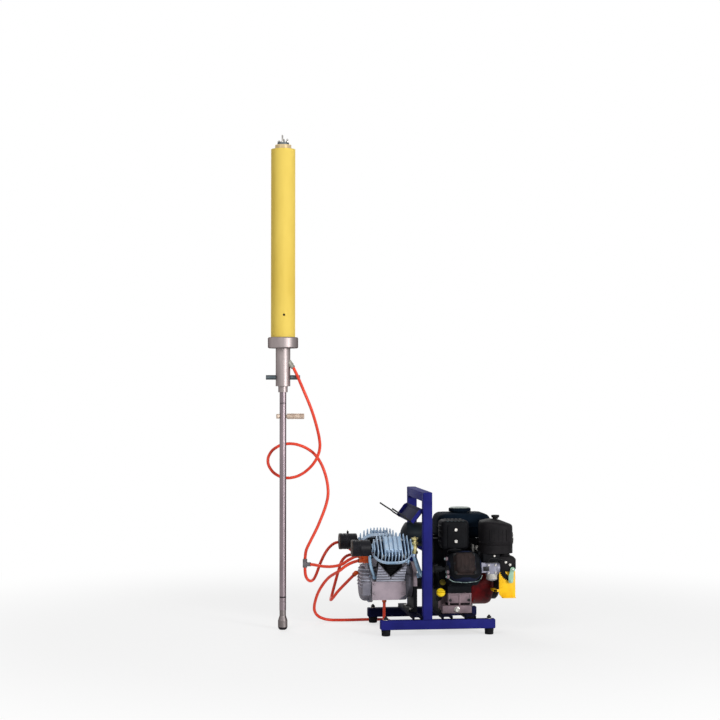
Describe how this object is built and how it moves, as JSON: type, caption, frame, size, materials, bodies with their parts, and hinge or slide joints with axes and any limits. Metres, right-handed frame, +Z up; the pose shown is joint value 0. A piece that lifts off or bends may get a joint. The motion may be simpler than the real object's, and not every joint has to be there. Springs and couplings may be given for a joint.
{
  "type": "soil penetrometer",
  "caption": "Air-driven soil penetrometer: jacketed hammer on a steel drive rod with cone tip, fed by hoses from an engine-driven twin compressor in a tube frame.",
  "frame": {"origin": "centre of the bounding box on the floor, hoses left out", "axes": "+Z up along the probe, +X from the probe to the engine along the rails, +Y away from the inspection cover"},
  "size_m": [0.8, 0.3724, 1.627],
  "materials": {
    "blue_paint": "gloss",
    "foot_rubber": "matte",
    "dark_paint": "satin",
    "bolt_steel": "satin",
    "case_alu": "cast",
    "cover_alu": "satin",
    "barrel_iron": "satin black paint",
    "head_alu": "cast",
    "black_plastic": "matte",
    "pipe_alu": "satin",
    "brass": "satin",
    "orange_plastic": "gloss",
    "steel": "satin",
    "engine_alu": "cast",
    "engine_black": "satin black paint",
    "cover_brown": "satin",
    "plug_ceramic": "gloss",
    "muffler_black": "satin",
    "carb_alu": "cast",
    "yellow_paint": "satin",
    "lever_green": "satin",
    "red_paint": "gloss",
    "fly_iron": "cast",
    "yellow_plastic": "gloss",
    "yellow_jacket": "matte",
    "hose_red": "gloss",
    "tee_grey": "satin"
  },
  "bodies": {
    "frame": {"rails": "blue_paint", "posts": "blue_paint", "top_bar": "blue_paint", "mount_bars": "blue_paint", "rubber_feet": "foot_rubber", "hose_cradle": "blue_paint", "pedestal": "dark_paint", "fasteners": "bolt_steel", "compressor_case": "case_alu", "end_bell": "case_alu", "inspection_cover": "cover_alu", "cylinders": "barrel_iron", "front_head": "head_alu", "rear_head": "head_alu", "intake_filters": "black_plastic", "air_pipes": "pipe_alu", "brass_fittings": "brass", "outlet_fittings": "orange_plastic", "air_receiver": "dark_paint", "engine_block": "engine_alu", "engine_cylinder": "engine_black", "valve_cover": "cover_brown", "spark_plug": "plug_ceramic", "muffler": "muffler_black", "fuel_tank": "black_plastic", "air_base": "black_plastic", "carburettor": "carb_alu", "intake_elbow": "black_plastic", "throttle_plate": "yellow_paint", "blower_housing": "red_paint", "recoil_cover": "black_plastic", "main_hose": "hose_red", "front_branch": "hose_red", "rear_branch": "hose_red", "balance_hose": "hose_red", "floor_hose": "hose_red", "hose_tee": "tee_grey"},
    "crank": {"crankshafts": "steel", "shaft_coupling": "steel", "flywheel": "fly_iron"},
    "piston_front": {"front_piston": "pipe_alu"},
    "piston_rear": {"rear_piston": "pipe_alu"},
    "cap_fuel": {"fuel_cap": "black_plastic"},
    "cap_oil": {"oil_cap": "yellow_plastic"},
    "cleaner_cover": {"air_cover": "black_plastic"},
    "cleaner_knob": {"air_knob": "black_plastic"},
    "lever": {"throttle_lever": "lever_green"},
    "grip": {"starter_grip": "black_plastic"},
    "hammer": {"hammer_sleeve": "yellow_jacket", "hammer_barrel": "steel", "top_cap": "steel", "anvil_collar": "steel", "driver_body": "steel", "handle_bars": "steel", "inlet_nipple": "steel", "nose_bush": "steel"},
    "ram_body": {"ram": "steel"},
    "rod": {"drive_rod": "steel", "cone_tip": "steel"},
    "pin": {"lock_pin": "steel"}
  },
  "joints": [
    {"name": "crank_spin", "type": "hinge", "parent": "frame", "child": "crank", "pos_m": [0.137, 0, 0.156], "axis": [1, 0, 0], "continuous": true},
    {"name": "front_piston_slide", "type": "slide", "parent": "frame", "child": "piston_front", "axis": [0, -0.7071, 0.7071], "range_m": [-0.02, 0.02]},
    {"name": "rear_piston_slide", "type": "slide", "parent": "frame", "child": "piston_rear", "axis": [0, 0.7071, 0.7071], "range_m": [-0.02, 0.02]},
    {"name": "fuel_cap_turn", "type": "hinge", "parent": "frame", "child": "cap_fuel", "pos_m": [0.247, 0.045, 0.388], "axis": [0, 0, 1], "range_deg": [0, 90]},
    {"name": "oil_cap_turn", "type": "hinge", "parent": "frame", "child": "cap_oil", "pos_m": [0.156, -0.09697, 0.1265], "axis": [0, -0.866, 0.5], "continuous": true},
    {"name": "air_cover_lift", "type": "slide", "parent": "frame", "child": "cleaner_cover", "axis": [0, 0, 1], "range_m": [0, 0.1]},
    {"name": "air_knob_turn", "type": "hinge", "parent": "cleaner_cover", "child": "cleaner_knob", "pos_m": [0.3375, -0.098, 0.372], "axis": [0, 0, 1], "continuous": true},
    {"name": "throttle_swing", "type": "hinge", "parent": "frame", "child": "lever", "pos_m": [0.385, -0.141, 0.205], "axis": [0, 1, 0], "range_deg": [0, 55]},
    {"name": "starter_pull", "type": "slide", "parent": "frame", "child": "grip", "axis": [0, 0.7071, 0.7071], "range_m": [0, 0.055], "stiffness_N_per_m": 20, "springref_m": -0.3},
    {"name": "probe_lift", "type": "slide", "parent": "frame", "child": "hammer", "axis": [0, 0, 1], "range_m": [0, 0.15], "deforming": ["main_hose"]},
    {"name": "ram_slide", "type": "slide", "parent": "hammer", "child": "ram_body", "axis": [0, 0, 1], "range_m": [0, 0.38]},
    {"name": "rod_slide", "type": "slide", "parent": "hammer", "child": "rod", "axis": [0, 0, 1], "range_m": [0, 0.02]},
    {"name": "lock_pin_turn", "type": "hinge", "parent": "rod", "child": "pin", "pos_m": [-0.347, 0.03, 0.7], "axis": [1, 0, 0], "continuous": true}
  ]
}
